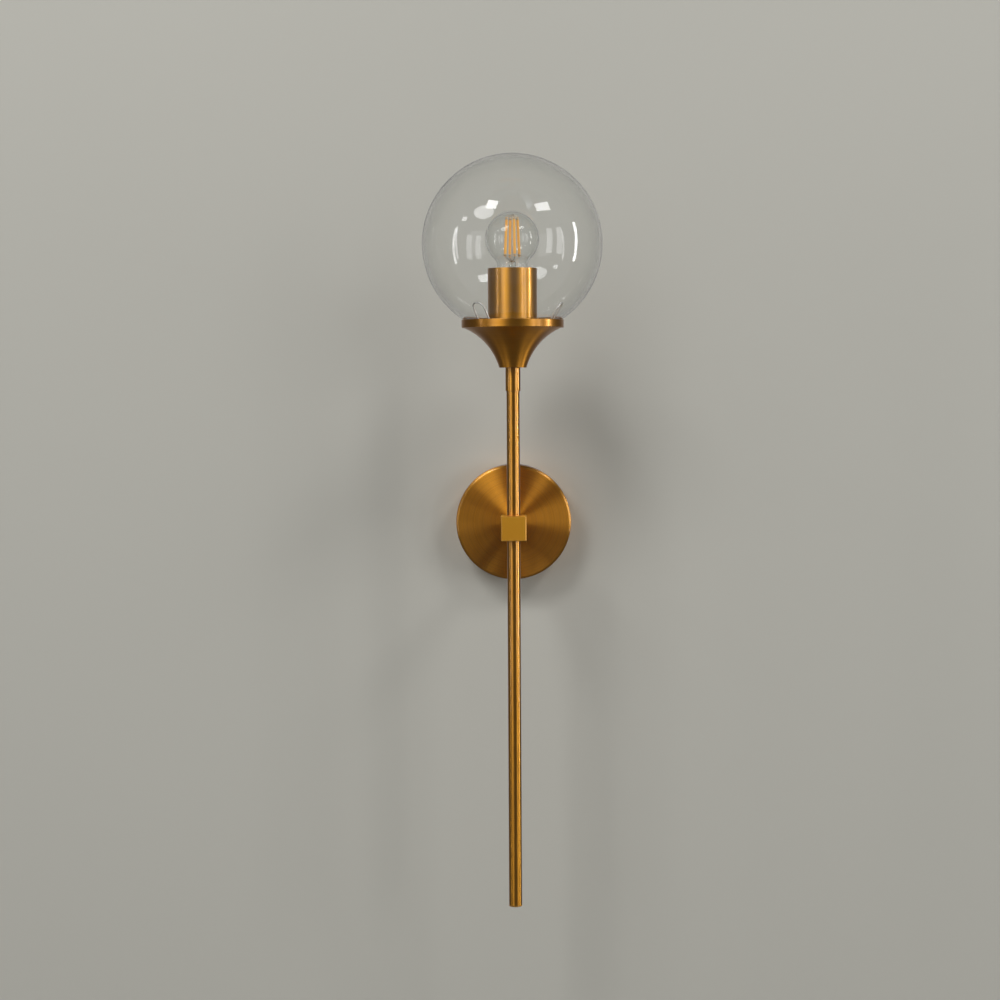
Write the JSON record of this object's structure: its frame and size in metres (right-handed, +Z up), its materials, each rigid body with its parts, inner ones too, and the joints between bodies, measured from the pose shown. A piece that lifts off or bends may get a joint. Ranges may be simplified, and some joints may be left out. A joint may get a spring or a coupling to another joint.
{
  "type": "wall sconce",
  "caption": "Brass wall sconce: round back plate, short arm, cube, long thin tube, trumpet cup, and a clear glass globe held by springs over a globe lamp.",
  "frame": {"origin": "middle of the wall bracket's rear face, on the wall plane", "axes": "+X to the right facing the wall, +Y into the wall, +Z up"},
  "size_m": [0.15, 0.175, 0.6292],
  "materials": {
    "spun_brass": "circular brushed, lacquered",
    "satin_brass": "satin",
    "tube_brass": "drawn, satin",
    "turned_brass": "turned and polished",
    "sleeve_brass": "polished",
    "clear_glass": "clear, blown",
    "lamp_clear_glass": "clear, thin",
    "stem_glass": "clear, pressed",
    "black_glass": "black, glossy",
    "white_silicone": "translucent white",
    "zinc_steel": "zinc plated",
    "spring_steel": "bright plated wire",
    "contact_nickel": "nickel plated brass",
    "contact_brass": "plain",
    "tinned_copper": "tinned",
    "lamp_wire": "nickel plated wire",
    "amber_phosphor": "amber phosphor coat, unlit",
    "black_plastic": "moulded",
    "white_plastic": "moulded",
    "white_ceramic": "unglazed",
    "circuit_board": "bare laminate",
    "brown_insulation": "extruded",
    "blue_insulation": "extruded",
    "green_yellow_insulation": "extruded, two colours"
  },
  "bodies": {
    "fixture": {"back_plate": "spun_brass", "centre_block": "satin_brass", "upper_tube": "tube_brass", "lower_tube": "tube_brass", "tube_end_plug": "satin_brass", "arm_tube": "tube_brass", "ferrule": "satin_brass", "trumpet_cup": "turned_brass", "socket_sleeve": "sleeve_brass", "seat_ring": "white_silicone", "gallery_plate": "zinc_steel", "globe_springs": "spring_steel", "spring_clamps": "zinc_steel", "spring_screws": "zinc_steel", "holder_nipple": "zinc_steel", "cup_lock_nut": "zinc_steel", "holder_cap": "black_plastic", "holder_skirt": "black_plastic", "contact_block": "white_ceramic", "screw_shell": "contact_nickel", "centre_contact": "contact_brass", "terminal_posts": "contact_brass", "post_screws": "zinc_steel", "arm_washer": "zinc_steel", "arm_lock_nut": "zinc_steel", "wall_bracket": "zinc_steel", "plate_grub_screws": "satin_brass", "earth_screw": "contact_brass", "earth_lug": "tinned_copper", "terminal_block": "white_plastic", "terminal_barrels": "contact_brass", "terminal_screws": "zinc_steel", "block_screws": "zinc_steel", "live_wire": "brown_insulation", "neutral_wire": "blue_insulation", "earth_wire": "green_yellow_insulation"},
    "globe": {"glass_globe": "clear_glass"},
    "lamp_carrier": {"lamp_tip": "contact_nickel"},
    "lamp": {"lamp_insulator": "black_glass", "lamp_cap": "contact_nickel", "lamp_glass": "lamp_clear_glass", "lamp_filaments": "amber_phosphor", "lamp_supports": "lamp_wire", "lamp_stem": "stem_glass", "lamp_driver": "circuit_board"}
  },
  "joints": [
    {"name": "globe_lift", "type": "slide", "parent": "fixture", "child": "globe", "axis": [0, 0, 1], "range_m": [0, 0.1], "deforming": ["globe_springs"]},
    {"name": "lamp_rise", "type": "slide", "parent": "fixture", "child": "lamp_carrier", "axis": [0, 0, 1], "range_m": [0, 0.02]},
    {"name": "lamp_turn", "type": "hinge", "parent": "lamp_carrier", "child": "lamp", "pos_m": [0, -0.1, 0.2], "axis": [0, 0, 1], "range_deg": [0, 1980]}
  ],
  "couplings": [
    {"joint": "lamp_rise", "follows": "lamp_turn", "m_per_rad": 0.0005776}
  ]
}
